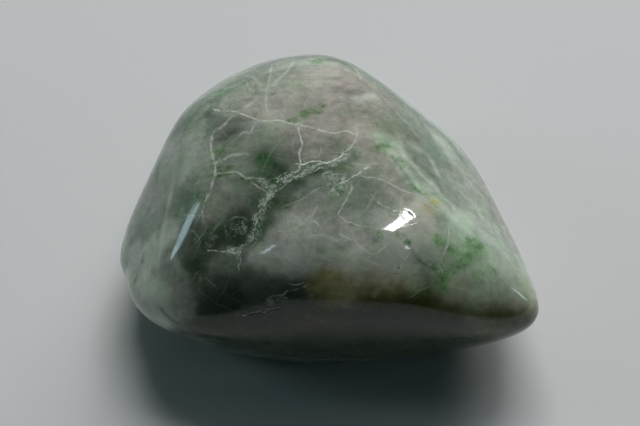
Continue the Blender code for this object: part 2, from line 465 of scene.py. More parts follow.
# rough fissures, not polished through: width, depth, whiteness and the route
fissures = {
    "brightSeam": (0.12, 0.16, 0.95, [
        (296, 163), (302, 164), (306, 163), (312, 161), (319, 161), (326, 162), (332, 160),
        (338, 158), (342, 155), (346, 151)]),
    "brightSeamUnder": (0.12, 0.08, 0.9, [(319, 164), (327, 163), (335, 160)]),
    "strandTop": (0.11, 0.10, 0.6, [(277, 178), (282, 174), (289, 172), (295, 172), (300, 169)]),
    "strandMiddle": (0.10, 0.10, 0.58, [
        (280, 180), (286, 176), (291, 175), (297, 176), (303, 173), (309, 170), (315, 167),
        (321, 165)]),
    "strandLow": (0.11, 0.12, 0.6, [
        (277, 191), (282, 188), (286, 184), (290, 181), (294, 177), (301, 176), (308, 174),
        (314, 171), (321, 167)]),
    "blackGap": (0.22, 0.14, 0.1, [(306, 173), (312, 170), (318, 167), (324, 165)]),
    "rightStrand": (0.13, 0.14, 0.8, [
        (340, 183), (346, 181), (350, 178), (354, 176), (358, 174), (363, 170), (368, 167)]),
    "hubBandCore": (0.10, 0.06, 0.68, [(270, 195), (264, 204), (259, 213), (256, 224), (253, 236)]),
    "whitePatch": (0.14, 0.12, 0.75, [
        (208, 250), (215, 251), (223, 252), (229, 250), (235, 248), (243, 245), (249, 244)]),
    "whiteWedge": (0.34, 0.05, 0.66, [(230, 251), (235, 253), (240, 253)]),
    "whiteStem": (0.13, 0.10, 0.68, [(238, 255), (241, 259), (240, 263), (238, 267), (240, 272)]),
    "paneChip": (0.11, 0.05, 0.3, [(404, 209), (409, 212), (414, 217)]),
    "paneNick": (0.09, 0.04, 0.3, [(399, 213), (404, 219)]),
    "darkJag": (0.13, 0.10, 0.1, [(247, 248), (251, 244), (256, 238), (260, 232)]),
    "crackLow": (0.10, 0.14, 0.85, [
        (243, 316), (249, 314), (252, 313), (260, 312), (264, 313), (267, 310), (273, 309),
        (280, 308)]),
    "crackMiddle": (0.09, 0.12, 0.6, [
        (265, 304), (267, 301), (270, 297), (278, 296), (283, 295), (287, 292), (294, 290),
        (300, 288), (306, 286), (311, 283)]),
    "crackTop": (0.09, 0.10, 0.7, [(289, 283), (292, 285), (298, 284), (304, 283)]),
}

# veins: tint, width, strength and the route
veins = {
    "longPale": ("white", 0.14, 0.62, [
        (212, 108), (221, 111), (233, 111), (242, 114), (251, 117), (259, 120), (268, 121),
        (278, 120), (288, 123), (298, 124), (308, 127), (316, 129), (325, 131), (334, 133),
        (345, 131), (355, 134)]),
    "longPaleFork": ("milk", 0.2, 0.6, [
        (239, 113), (234, 116), (226, 122), (221, 127), (216, 130)]),
    "leftStem": ("white", 0.16, 0.5, [
        (215, 130), (212, 136), (211, 144), (211, 151), (213, 159), (215, 168), (215, 176),
        (212, 182), (211, 190), (207, 197), (204, 205), (202, 213), (204, 223)]),
    "seamTail": ("milk", 0.16, 0.8, [
        (340, 156), (346, 151), (351, 147), (354, 142), (357, 136), (357, 131), (358, 128)]),
    "upright": ("white", 0.13, 0.58, [
        (298, 124), (299, 131), (301, 137), (302, 145), (300, 151), (300, 159), (300, 166),
        (298, 171)]),
    "shortUpright": ("milk", 0.12, 0.4, [(320, 145), (321, 151), (318, 156)]),
    "starStem": ("milk", 0.22, 0.7, [
        (272, 63), (270, 76), (268, 86), (266, 96), (266, 107), (268, 115)]),
    "starRight": ("milk", 0.22, 0.75, [(294, 60), (288, 70), (280, 78), (271, 86)]),
    "starLeft": ("milk", 0.24, 0.6, [(253, 76), (258, 83), (264, 87)]),
    "starFarLeft": ("milk", 0.3, 0.45, [(246, 79), (248, 87), (255, 91)]),
    "starFoot": ("milk", 0.2, 0.7, [(257, 98), (251, 103), (245, 108)]),
    "topHaze": ("milk", 0.3, 0.4, [(228, 92), (223, 101), (220, 108)]),
    "loopRight": ("milk", 0.15, 0.5, [
        (238, 136), (242, 133), (247, 132), (250, 134), (252, 131), (254, 126), (256, 121)]),
    "loopLeft": ("milk", 0.13, 0.35, [(219, 131), (225, 133), (227, 137)]),
    "thinSlant": ("jadeLine", 0.12, 0.5, [(232, 152), (243, 143), (252, 136), (260, 135)]),
    "thinSlantTwo": ("jadeLine", 0.11, 0.45, [(224, 143), (231, 137), (237, 134)]),
    "mossBranch": ("milkGreen", 0.32, 0.8, [
        (206, 165), (214, 163), (221, 160), (228, 157), (234, 155), (242, 154), (248, 152)]),
    "crossLeft": ("jadeLine", 0.13, 0.45, [(193, 175), (200, 178), (206, 179), (214, 179)]),
    "crossRight": ("milk", 0.15, 0.6, [
        (215, 174), (221, 173), (229, 172), (237, 172), (243, 176), (246, 178), (254, 178),
        (262, 179), (267, 184)]),
    "hubLeft": ("milk", 0.16, 0.55, [(250, 181), (255, 184), (260, 188), (266, 191), (271, 193)]),
    "hubTop": ("jadeLine", 0.16, 0.5, [(264, 180), (267, 186), (271, 192)]),
    "greenSlant": ("jadeLine", 0.13, 0.55, [
        (291, 127), (282, 139), (274, 148), (269, 157), (265, 165), (262, 173)]),
    "greenSlantTop": ("jadeLine", 0.18, 0.8, [
        (326, 98), (318, 106), (308, 114), (299, 122), (291, 127)]),
    "tealThread": ("jadeLine", 0.11, 0.35, [(269, 156), (280, 159), (291, 161)]),
    "orangeThread": ("peach", 0.12, 0.5, [(273, 121), (280, 128), (288, 136)]),
    "arc": ("milk", 0.13, 0.7, [
        (359, 176), (368, 177), (376, 178), (383, 180), (391, 184), (399, 188), (406, 191),
        (414, 194), (421, 197), (429, 200)]),
    "arcTop": ("milk", 0.12, 0.4, [(351, 163), (362, 164), (374, 164), (385, 164)]),
    "arcTopBranch": ("milk", 0.11, 0.35, [(376, 160), (381, 158), (386, 159)]),
    "downThread": ("milk", 0.13, 0.65, [
        (351, 182), (352, 189), (348, 196), (345, 202), (342, 208), (338, 216)]),
    "downThreadLeft": ("milk", 0.13, 0.35, [(337, 216), (330, 218), (321, 223)]),
    "downThreadRight": ("white", 0.12, 0.35, [(339, 216), (350, 222), (361, 226), (371, 227)]),
    "faintCentre": ("milk", 0.12, 0.35, [
        (328, 186), (316, 190), (304, 198), (292, 203), (280, 208)]),
    "shoulderThread": ("white", 0.11, 0.4, [
        (370, 193), (378, 202), (385, 206), (391, 209), (397, 211)]),
    "webA": ("milk", 0.18, 0.5, [
        (276, 231), (284, 231), (292, 229), (300, 225), (306, 220), (311, 212)]),
    "webB": ("milk", 0.16, 0.4, [(298, 214), (300, 219), (302, 224)]),
    "webC": ("white", 0.11, 0.38, [(318, 204), (313, 213), (310, 220), (317, 223), (320, 228)]),
    "webD": ("milk", 0.2, 0.55, [
        (292, 238), (300, 237), (310, 236), (320, 235), (330, 237), (340, 242), (348, 248),
        (356, 254), (364, 259), (372, 262)]),
    "webE": ("milk", 0.2, 0.4, [
        (312, 252), (322, 256), (332, 261), (344, 264), (356, 267), (370, 270)]),
    "webF": ("white", 0.17, 0.42, [
        (338, 233), (347, 237), (354, 240), (358, 243), (361, 247), (367, 252), (373, 254),
        (380, 251), (385, 247), (389, 241)]),
    "webG": ("white", 0.12, 0.38, [(369, 256), (371, 261), (379, 265)]),
    "webH": ("white", 0.12, 0.35, [(283, 253), (287, 259), (293, 262)]),
    "rightThread": ("white", 0.14, 0.42, [
        (434, 204), (433, 212), (431, 223), (426, 232), (421, 241), (418, 248)]),
    "rightUpright": ("white", 0.13, 0.42, [
        (448, 222), (449, 235), (447, 246), (443, 256), (440, 268)]),
    "greenVein": ("mossShade", 0.22, 0.5, [
        (400, 233), (406, 237), (409, 242), (412, 250), (418, 259), (427, 266), (436, 271)]),
    "glintThread": ("white", 0.13, 0.45, [(410, 252), (405, 261), (399, 268), (396, 273)]),
    "oliveThread": ("brownGrey", 0.13, 0.6, [(408, 300), (418, 292), (424, 289), (431, 286)]),
    "lowCross": ("midGrey", 0.12, 0.35, [
        (232, 268), (229, 278), (226, 286), (223, 293), (216, 300)]),
    "lowCrossTwo": ("midGrey", 0.11, 0.3, [
        (267, 269), (257, 277), (247, 283), (238, 290), (231, 295)]),
    "lowCrossThree": ("midGrey", 0.11, 0.25, [(225, 294), (236, 300), (247, 304), (257, 308)]),
    "lowLeft": ("warmGrey", 0.15, 0.3, [
        (199, 270), (192, 279), (186, 286), (180, 293), (173, 300), (170, 307)]),
    "lowLeftTwo": ("warmGrey", 0.13, 0.5, [(204, 276), (210, 282), (216, 287)]),
    "lowLeftThree": ("warmGrey", 0.12, 0.25, [(204, 276), (198, 282), (191, 288)]),
    "lowLeftFour": ("warmGrey", 0.12, 0.2, [(206, 290), (200, 296), (197, 305)]),
    "pocketArc": ("milk", 0.14, 0.4, [(231, 219), (238, 217), (244, 218), (249, 221)]),
    "pocketGreen": ("jadeLine", 0.2, 0.7, [(209, 237), (215, 228), (221, 221), (225, 218)]),
    "leftLoop": ("milk", 0.14, 0.25, [(188, 230), (194, 232), (200, 240), (197, 248)]),
    "crackLowLine": ("paleGrey", 0.10, 0.75, fissures["crackLow"][3]),
    "crackMiddleLine": ("paleGrey", 0.08, 0.55, [
        (267, 302), (270, 297), (278, 296), (283, 295), (287, 292), (294, 290), (300, 288),
        (306, 286), (311, 283)]),
    "crackTopLine": ("paleGrey", 0.09, 0.7, [(288, 283), (292, 285), (298, 284), (305, 283)]),
    "brightSeamLine": ("white", 0.12, 0.9, fissures["brightSeam"][3][:-1]),
    "lowRightA": ("paintedUnderShade", 0.16, 0.5, [(343, 354), (358, 347), (371, 340), (388, 332)]),
    "lowRightB": ("midGrey", 0.15, 0.4, [(364, 302), (359, 307), (353, 311)]),
    "lowRightC": ("midGrey", 0.15, 0.4, [(263, 349), (278, 343), (292, 337), (300, 333)]),
}

# the same for the sides turned away, as bearings from the heart
farVeins = {
    "backLong": ("milk", 0.16, 0.65, [
        (74, 36), (80, 28), (92, 18), (98, 4), (104, -8), (112, -18)]),
    "backFork": ("milk", 0.14, 0.5, [(80, 28), (70, 18), (62, 6), (58, -6)]),
    "backCross": ("milk", 0.2, 0.5, [
        (152, 8), (140, 14), (126, 18), (112, 20), (100, 20), (92, 18)]),
    "backGreen": ("jadeLine", 0.26, 0.7, [(134, -4), (126, 4), (118, 10), (108, 18), (104, 26)]),
    "leftLong": ("milk", 0.18, 0.55, [(184, -2), (176, -8), (166, -10), (158, -18), (150, -30)]),
    "leftThread": ("milk", 0.12, 0.45, [(176, -8), (168, -2), (158, 4), (146, 8)]),
    "rightLong": ("milk", 0.2, 0.55, [(20, 14), (28, 6), (34, -8), (42, -22)]),
    "rightThread": ("milk", 0.13, 0.45, [(28, 6), (16, 0), (6, -8), (356, -18)]),
    "rightGreen": ("jadeLine", 0.22, 0.6, [(50, 20), (46, 12), (46, 2), (52, -10)]),
    "frontLow": ("midGrey", 0.16, 0.4, [(300, -22), (288, -30), (276, -26), (262, -34)]),
}

# sugary grains under the polish: radius, how thickly they lie and the route
grains = {
    "hubBand": (1.0, 0.9, [
        (273, 190), (269, 196), (263, 207), (259, 215), (257, 224), (254, 235), (251, 242)]),
    "hubTop": (0.9, 0.7, [(262, 181), (268, 187), (273, 194)]),
    "strands": (0.9, 0.8, [
        (280, 180), (290, 176), (301, 172), (312, 168), (322, 165), (334, 161), (345, 154)]),
    "knot": (0.8, 1.0, [(327, 175), (331, 177), (334, 182), (332, 190), (337, 193)]),
    "ellipse": (1.3, 0.7, [(334, 178), (340, 186), (346, 176)]),
    "pocket": (1.3, 0.45, [(226, 226), (234, 232), (243, 224), (247, 232)]),
    "whiteWedge": (0.7, 1.0, [(230, 251), (236, 252), (242, 249)]),
    "crackMiddle": (0.8, 0.5, [(266, 303), (275, 300), (284, 297)]),
    "greenHub": (1.0, 0.4, [(438, 268), (446, 276), (440, 282)]),
    "leftMoss": (1.0, 0.35, [(196, 180), (206, 180), (214, 165), (224, 160)]),
    "lowPocket": (0.8, 0.4, [(208, 244), (214, 238)]),
    "glintThread": (0.4, 0.5, [(405, 261), (399, 268), (396, 273)]),
}


# laying the marks on the stone

laying = {
    "seed": 4,               # for the noise that bends and frays the marks, the same in each run
    "gap": 0.15,             # mm between the points of a laid route
    "stray": ((1.4, 0.10), (0.55, 0.10)),   # wavelength and size of a route's own small bends
    "drift": ((4.5, 1.1), (1.6, 0.6), (0.7, 0.22)),   # the same for the drift that frays edges
    "bearingsPerMm": 2.2,    # degrees of bearing to a mm of the skin
    "bandReach": 2.2,        # bands, grains and fissures fade out within so many radii or widths
    "grainReach": 2.5,
    "fissureReach": 3.0,
    "fissureRefine": 0.55,   # the grid is cut finer this close to a fissure
    "refineCuts": 2,
    "fissureWidths": (0.95, 0.9, 1.3),      # middle, swing and waves in a mm of their uneven width
    "fissureDepths": (0.75, 0.9, 3.5),      # the same for their depth
    "veinReach": 0.75,       # how far a vein's own values are kept
    "veinFade": 0.3,         # they fade over the last part of it
    "veinEnds": 0.8,         # a vein thins out this close to its ends
    "pastTheEnd": 0.25,      # what lies further than this past an end isn't part of the vein
    "tintSpread": 0.3,       # how far a vein's tint reaches
    "veinsApart": 1.55,      # veins of one set stay this far from each other
    "noVein": 9.0,           # the width away that stands for no vein at all
    "leastShare": 1e-12,     # so that each point has a colour, however far from any mark
    "leastWeight": 1e-6,
    "leastLine": 1e-9,
}
noise.seed_set(laying["seed"])


def layRoute(spots, placeAt=seenAt, perMm=view["scale"]):  # a smooth line, laid on the stone
    corners = [Vector(spot) for spot in spots]
    before, after = corners[:1] + corners[:-1], corners[1:] + corners[-1:]
    lean = [(ahead - behind) / 6.0 for behind, ahead in zip(before, after)]
    places = []
    for start, end, leave, arrive in zip(corners, corners[1:], lean, lean[1:]):
        steps = 2 + int((end - start).length / perMm / laying["gap"])
        places += geometry.interpolate_bezier(start, start + leave, end - arrive, end, steps)[:-1]
    laid = [placeAt(*place) for place in places + corners[-1:]]
    for wavelength, size in laying["stray"]:
        laid = [place + noise.noise_vector(place / wavelength) * size for place in laid]
    return laid


def alongside(route, reach):  # vertices near a route: number, distance, nearest point
    nearest = {}
    for number, place in enumerate(route):
        for spot, vertex, distance in vertexTree.find_range(place, reach):
            if vertex not in nearest or distance < nearest[vertex][0]:
                nearest[vertex] = (distance, number)
    vertices = np.array(list(nearest), dtype=int)
    distances = np.array([distance for distance, number in nearest.values()])
    numbers = np.array([number for distance, number in nearest.values()], dtype=int)
    return vertices, distances, numbers


def growTree(points):
    kdTree = KDTree(len(points))
    for number, point in enumerate(points):
        kdTree.insert(point, number)
    kdTree.balance()
    return kdTree


def uneven(points, middle, swing, perMm):  # a factor that wanders from place to place
    return np.array([middle + swing * noise.noise(Vector(point) * perMm) for point in points])


def fading(distances, radius):  # 1 on the mark, soft towards its edge
    return np.exp(-(distances / radius) ** 2)


def fadingFrom(place, radius):  # the same round one place, with frayed edges
    return np.exp(-squaredGap(drifted, place) / radius ** 2)


fissureRoutes = {name: layRoute(fissures[name][3]) for name in fissures}
fissureTree = growTree([place for route in fissureRoutes.values() for place in route])
nearFissure = [fissureTree.find(point)[2] < laying["fissureRefine"] for point in stonePoints]
fineEdges = [edge for edge in grid.edges if all(nearFissure[vertex.index] for vertex in edge.verts)]
bmesh.ops.subdivide_edges(grid, edges=fineEdges, cuts=laying["refineCuts"], use_grid_fill=True)
stoneMesh = formStone(grid, "polishedStone")
grid.free()
stonePoints = meshPoints(stoneMesh) / mm
vertexTree = growTree(stonePoints)
outward = unit(stonePoints - np.array(form["heart"]))
print("grid cut finer at the fissures:", len(stonePoints), "points")

drifted = stonePoints.copy()
for wavelength, size in laying["drift"]:
    drifted += [noise.noise_vector(Vector(point) / wavelength) * size for point in stonePoints]

colours = np.zeros((len(stonePoints), 3))
shares = np.zeros(len(stonePoints))
places = [(tint, seenAt(*pixel), radius) for tint in zones for *pixel, radius in zones[tint]]
places += [(tint, atBearing(*side), radius)
           for tint in farZones for *side, radius in farZones[tint]]
for tint, place, radius in places:
    share = fadingFrom(place, radius) + laying["leastShare"]
    colours += share[:, None] * np.array(tints[tint])
    shares += share
colours /= shares[:, None]
print("zones laid:", len(places))


def layOver(vertices, amounts, tint):
    colours[vertices] += amounts[:, None] * (np.array(tints[tint]) - colours[vertices])


for tint, radius, strength, route in bands.values():
    vertices, distances, numbers = alongside(layRoute(route), radius * laying["bandReach"])
    layOver(vertices, strength * fading(distances, radius), tint)
for tint, radius, strength, pixels in stains.values():
    for pixel in pixels:
        layOver(np.arange(len(colours)), strength * fadingFrom(seenAt(*pixel), radius), tint)
print("bands and stains laid:", len(bands) + len(stains))

growth = np.zeros((len(stonePoints), 4))  # moss, roughness and whiteness of the fissures, grains
patches = [(seenAt(*pixel), radius, fill) for *pixel, radius, fill in moss]
patches += [(atBearing(*side), radius, fill) for *side, radius, fill in farMoss]
for place, radius, fill in patches:
    growth[:, 0] = np.maximum(growth[:, 0], fill * fadingFrom(place, radius))

for radius, thickness, route in grains.values():
    vertices, distances, numbers = alongside(layRoute(route), radius * laying["grainReach"])
    growth[vertices, 3] = np.maximum(growth[vertices, 3], thickness * fading(distances, radius))

depths = np.zeros(len(stonePoints))
for name, (width, depth, whiteness, spots) in fissures.items():
    vertices, distances, numbers = alongside(fissureRoutes[name], width * laying["fissureReach"])
    widths = width * uneven(fissureRoutes[name], *laying["fissureWidths"])
    amounts = fading(distances, widths[numbers])
    stronger = amounts > growth[vertices, 1]
    growth[vertices[stronger], 1] = amounts[stronger]
    growth[vertices[stronger], 2] = whiteness
    depths[vertices] = np.maximum(depths[vertices], depth * amounts)
print("moss, grains and fissures laid:", len(patches) + len(grains) + len(fissures))


def leastGap(route, others):
    return min((place - other).length for place in route for other in others)


def sortVeins(routes):  # veins of one set keep clear of each other
    sets = []
    for name, route in routes.items():
        for members in sets:
            if min(leastGap(route, routes[member]) for member in members) > laying["veinsApart"]:
                members.append(name)
                break
        else:
            sets.append([name])
    return sets


def veinValues(members, routes):  # for each vertex: across over width, and strength
    values = np.zeros((len(stonePoints), 3))
    values[:, 0] = laying["noVein"]
    for name in members:
        tint, width, strength, spots = (veins | farVeins)[name]
        spots = np.array(routes[name])
        vertices, distances, numbers = alongside(routes[name], laying["veinReach"])
        sides = unit(np.cross(spots - np.array(form["heart"]), np.gradient(spots, axis=0)))
        across = ((stonePoints[vertices] - spots[numbers]) * sides[numbers]).sum(axis=1)
        fromEnd = np.minimum(numbers, len(spots) - 1 - numbers) * laying["gap"]
        ends = np.clip(fromEnd / laying["veinEnds"], 0.0, 1.0)
        edge = np.clip((laying["veinReach"] - distances) / laying["veinFade"], 0.0, 1.0)
        beside = distances - np.abs(across) < laying["pastTheEnd"]
        values[vertices, 0] = across / width
        values[vertices, 1] = strength * np.sqrt(ends) * edge * beside
        weights = fading(distances, laying["tintSpread"]) + laying["leastWeight"]
        lineColours[vertices] += weights[:, None] * np.array(tints[tint])
        lineShares[vertices] += weights
    return values


veinRoutes = {name: layRoute(veins[name][3]) for name in veins}
for name in farVeins:
    veinRoutes[name] = layRoute(farVeins[name][3], atBearing, laying["bearingsPerMm"])
veinSets = sortVeins(veinRoutes)
lineShares = np.full(len(stonePoints), laying["leastLine"])
lineColours = lineShares[:, None] * np.array(tints["milk"])


def keepValues(name, kind, values):  # an attribute of the mesh, for the finish to read
    slotOf = {"FLOAT_VECTOR": "vector", "FLOAT_COLOR": "color"}
    layer = stoneMesh.attributes.new(name, kind, "POINT")
    layer.data.foreach_set(slotOf[kind], values.ravel())


veinNames = []
for number, members in enumerate(veinSets):
    veinNames.append("veins" + str(number + 1))
    keepValues(veinNames[-1], "FLOAT_VECTOR", veinValues(members, veinRoutes))
lineColours /= lineShares[:, None]
solid = np.ones((len(stonePoints), 1))
keepValues("tint", "FLOAT_COLOR", np.hstack([colours, solid]))
keepValues("lineTint", "FLOAT_COLOR", np.hstack([lineColours, solid]))
keepValues("growth", "FLOAT_COLOR", growth)
print("veins laid:", len(veinRoutes), "in", len(veinSets), "sets")

opened = depths * uneven(stonePoints, *laying["fissureDepths"])
relieved = stonePoints - outward * opened[:, None]
lowest, highest = relieved.min(axis=0), relieved.max(axis=0)
boxLow, boxHigh = np.array(cadBox[0]) / mm, np.array(cadBox[1]) / mm
share = (relieved - lowest) / (highest - lowest)
low, high = np.maximum(lowest, boxLow), np.minimum(highest, boxHigh)
setMeshPoints(stoneMesh, (low + share * (high - low)) * mm)
print("fissures opened, stone kept inside its box")


# camera

cameraData = bpy.data.cameras.new("closeView")
pictureWidth, pictureHeight = view["picture"]
cameraData.sensor_width = view["sensor"]
cameraData.lens = view["scale"] * view["distance"] / pictureWidth * view["sensor"]
cameraData.clip_start = view["nearClip"]
cameraData.shift_x = (pictureWidth / 2 - view["heartAt"][0]) / pictureWidth
cameraData.shift_y = (view["heartAt"][1] - pictureHeight / 2) / pictureWidth
closeView = bpy.data.objects.new("closeView", cameraData)
closeView.location = eye * mm
closeView.rotation_euler = lookAlong.to_track_quat("-Z", "Y").to_euler()
bpy.context.scene.collection.objects.link(closeView)
bpy.context.scene.camera = closeView
bpy.context.scene.view_settings.view_transform = "Standard"
print("camera placed, lens", round(cameraData.lens, 1))


# table and light

room = {
    "tableSize": 3.0,        # m
    "tableColour": (0.60, 0.605, 0.605, 1.0),
    "tableRoughness": 0.75,
    "lightDistance": 1.2,    # m from the heart
    "ambient": (0.015, 0.026, 0.027, 1.0),
}

# each light is a strip: the bearings of its two ends, its width in degrees, its radiance, its
# colour and outline, and whether it lights the surfaces, shows as a gleam on the polish, or both
white = (1.0, 1.0, 1.0)
skyBlue = (0.66, 0.92, 1.0)
lights = {
    "softWindow": ((82, 44), (82, 67), 34, 9.6, white, "RECTANGLE", "lights"),
    "lowWindow": ((67, 8), (67, 34), 30, 5.6, white, "RECTANGLE", "lights"),
    "brightPane": ((43.5, 45), (13, 72.5), 8.2, 30.0, white, "RECTANGLE", "gleams"),
    "smallPane": ((327, 49), (330, 54), 1.4, 14.0, white, "ELLIPSE", "gleams"),
    "leftStrip": ((167, 38), (177, 18), 5.6, 4.6, skyBlue, "ELLIPSE", "both"),
    "leftLamp": ((204, 52), (213.5, 40.5), 1.6, 6.5, skyBlue, "RECTANGLE", "gleams"),
    "rightStrip": ((352, 22), (359, 0), 3.6, 4.0, skyBlue, "ELLIPSE", "both"),
}


def softLight(name, lower, upper, width, radiance, colour, outline, task):
    start, end = bearing(*lower), bearing(*upper)
    outwards = (start + end).normalized()
    lengthways = (end - start).normalized()
    data = bpy.data.lights.new(name, "AREA")
    data.shape = outline
    data.size = 2.0 * room["lightDistance"] * math.tan(math.radians(width) / 2.0)
    data.size_y = 2.0 * room["lightDistance"] * math.tan(start.angle(end) / 2.0)
    data.energy = radiance * math.pi * data.size * data.size_y
    data.color = colour
    lamp = bpy.data.objects.new(name, data)
    lamp.location = form["heart"] * mm + outwards * room["lightDistance"]
    faces = Matrix((lengthways.cross(outwards), lengthways, outwards)).transposed()
    lamp.rotation_euler = faces.to_euler()
    lamp.visible_glossy = task != "lights"
    lamp.visible_diffuse = task != "gleams"
    bpy.context.scene.collection.objects.link(lamp)


tableGrid = bmesh.new()
bmesh.ops.create_grid(tableGrid, x_segments=1, y_segments=1, size=room["tableSize"] / 2)
tableMesh = bpy.data.meshes.new("table")
tableGrid.to_mesh(tableMesh)
tableGrid.free()
table = bpy.data.objects.new("table", tableMesh)
bpy.context.scene.collection.objects.link(table)
tableFinish = bpy.data.materials.new("paleTable")
tableFinish.use_nodes = True
tableShader = tableFinish.node_tree.nodes["Principled BSDF"]
tableShader.inputs["Base Color"].default_value = room["tableColour"]
tableShader.inputs["Roughness"].default_value = room["tableRoughness"]
tableMesh.materials.append(tableFinish)

for name, values in lights.items():
    softLight(name, *values)
dimRoom = bpy.data.worlds.new("dimRoom")
dimRoom.use_nodes = True
dimRoom.node_tree.nodes["Background"].inputs["Color"].default_value = room["ambient"]
bpy.context.scene.world = dimRoom
print("table and lights set")


# polished jade: the laid marks, with smoky clouds, fine cracks, moss and sugary fissures

jade = {
    "index": 1.52,           # refraction of the waxed jade
    "polish": 0.075,         # roughness of the polished skin
    "dullness": 0.10,        # more where the polish is worn
    "broken": 0.62,          # roughness inside a fissure
    "glow": 0.22,            # share of the light that goes under the skin
    "glowReach": (1.0, 1.0, 0.85),            # of red, green and blue
    "depthOfGlow": 0.0012,   # metres that light travels under the skin
    "reliefDepth": 0.00008,  # metres, for the finest relief, with the cracks' and the waves' shares
    "crackRelief": 0.10,
    "waveRelief": 0.10,
    "greener": (0.92, 1.02, 0.91),            # where the body drifts towards green
    "darkMoss": (0.32, 0.48, 0.28, 1.0),      # moss stains the body: what it leaves of the colour
    "brightMoss": (0.65, 0.87, 0.60, 1.0),
    "mossGlow": (0.006, 0.015, 0.007),        # the green of moss over dark stone
    "sugar": (0.56, 0.61, 0.53, 1.0),
    "grit": (0.05, 0.09, 0.05, 1.0),
    "crackTint": (0.42, 0.46, 0.39, 1.0),
    "grain": (0.38, 0.46, 0.37, 1.0),
    "greenGrain": (0.13, 0.25, 0.15, 1.0),
    "pit": (0.022, 0.045, 0.024, 1.0),
    "grained": ((0.5, 0.35, 0.7), (0.16, 0.62, 0.62)),   # turn and stretch of the slanting grain
    "drawn": ((0.2, 0.3, 0.9), (0.55, 1.15, 1.15)),      # the same for the web of cracks
    "bend": (1.5, 1.5, 1.5),                  # how far the cracks are bent
    "sway": {                # how far a cloud shifts the edge of a mark
        "moss": 1.1,
        "vein": 2.4,
        "fissure": 1.5,
        "whiteness": 0.42,
        "grains": 0.14,
    },
    "cracks": {              # cells in a mm, half width in mm and strength
        "wide": (0.15, 0.15, 0.30),
        "close": (0.34, 0.08, 0.20),
    },
    "crackCore": 0.2,        # a crack is at its strongest within this share of its half width
    "clouds": {              # features in a mm, detail, roughness and distortion
        "smoke": (0.22, 5.0, 0.6, 0.6),
        "wisps": (0.8, 5.0, 0.65, 1.0),
        "mottle": (1.0, 6.0, 0.7),
        "grit": (4.4, 3.0, 0.8),
        "greener": (0.3, 4.0, 0.6),
        "bend": (0.35, 5.0, 0.5),
        "widePatches": (0.16, 2.0, 0.5),
        "closePatches": (0.25, 2.0, 0.5),
        "mossEdge": (1.2, 6.0, 0.72),
        "mossStain": (1.3, 4.0, 0.65),
        "veinEdge": (2.2, 3.0, 0.7),
        "veinPatches": (0.8, 4.0, 0.7),
        "veinWidth": (0.45, 2.0, 0.5),
        "clusters": (0.9, 3.0, 0.7),
        "pits": (1.8, 4.0, 0.75),
        "fineGrains": (7.0, 2.0, 0.7),
        "grainColour": (2.8, 3.0, 0.7),
        "threads": (0.75, 3.0, 0.6, 1.2),
        "haze": (1.5, 5.0, 0.7),
        "fissureEdge": (2.6, 4.0, 0.8),
        "wear": (0.6, 4.0, 0.6),
        "waves": (0.7, 3.0, 0.55),
    },
    "ramps": {               # from and to of what goes in, then of what comes out
        "calm": (0.30, 0.44, 1.0, 0.4),       # milky places are smoother than dark ones
        "smoke": (0.25, 0.75, 0.78, 1.22),
        "wisps": (0.28, 0.72, 0.92, 1.08),
        "mottle": (0.25, 0.75, 0.80, 1.20),
        "grit": (0.25, 0.75, 0.88, 1.12),
        "greener": (0.45, 0.68),
        "crackPatches": (0.50, 0.66),
        "crackShade": (0.03, 0.20, 0.25, 1.0),
        "mossStain": (0.36, 0.62),
        "mossEdge": (0.10, 0.75, 0.0, 0.95),
        "mossLimit": (0.03, 0.35),
        "veinPatches": (0.34, 0.62, 0.2, 1.15),
        "veinWidth": (0.32, 0.68, 0.75, 1.6),
        "clusters": (0.36, 0.60, 0.25, 1.0),
        "pits": (0.49, 0.60),
        "pitShare": (0.05, 0.5, 0.0, 0.75),
        "speckle": (0.55, 0.72),
        "speckleShare": (0.02, 0.4, 0.0, 0.7),
        "grainColour": (0.42, 0.66),
        "threads": (0.022, 0.004),
        "threadShare": (0.1, 0.6, 0.0, 0.75),
        "haze": (0.44, 0.66),
        "hazeShare": (0.1, 0.6, 0.0, 0.45),
        "fissureEdge": (0.25, 0.85),
        "fissureLimit": (0.02, 0.25),
        "whiter": (0.44, 0.64),
        "wear": (0.45, 0.8),
    },
}

finish = bpy.data.materials.new("polishedJade")
finish.use_nodes = True
tree = finish.node_tree
shader = tree.nodes["Principled BSDF"]


def addNode(kind, values, **settings):  # a node with its values set or linked
    made = tree.nodes.new("ShaderNode" + kind)
    for name, value in settings.items():
        setattr(made, name, value)
    for socket, value in values.items():
        if isinstance(value, bpy.types.NodeSocket):
            tree.links.new(value, made.inputs[socket])
        else:
            made.inputs[socket].default_value = value
    return made


def maths(operation, *values):
    return addNode("Math", dict(enumerate(values)), operation=operation).outputs[0]


def times(first, second):
    return maths("MULTIPLY", first, second)


def vectorMaths(operation, *values):
    return addNode("VectorMath", dict(enumerate(values)), operation=operation).outputs[0]


def blend(factor, under, over):  # lays one colour over another
    return addNode("Mix", {0: factor, 6: under, 7: over}, data_type="RGBA").outputs[2]


def ramp(value, start, end, low=0.0, high=1.0):
    values = {"Value": value, "From Min": start, "From Max": end, "To Min": low, "To Max": high}
    return addNode("MapRange", values, interpolation_type="SMOOTHSTEP").outputs[0]


def shaped(value, name):  # a value through one of the ramps above
    return ramp(value, *jade["ramps"][name])


def stretched(turn, stretch):
    return addNode("Mapping", {"Vector": inMm, "Rotation": turn, "Scale": stretch}).outputs[0]


def noiseNode(where, perMm, detail, roughness, distortion=0.0):
    settings = {"Scale": perMm, "Detail": detail, "Roughness": roughness, "Distortion": distortion}
    return addNode("TexNoise", {"Vector": where} | settings)


def cloud(name):
    return noiseNode(inMm, *jade["clouds"][name]).outputs["Fac"]


def shapedCloud(name):  # a cloud through the ramp of the same name
    return shaped(cloud(name), name)


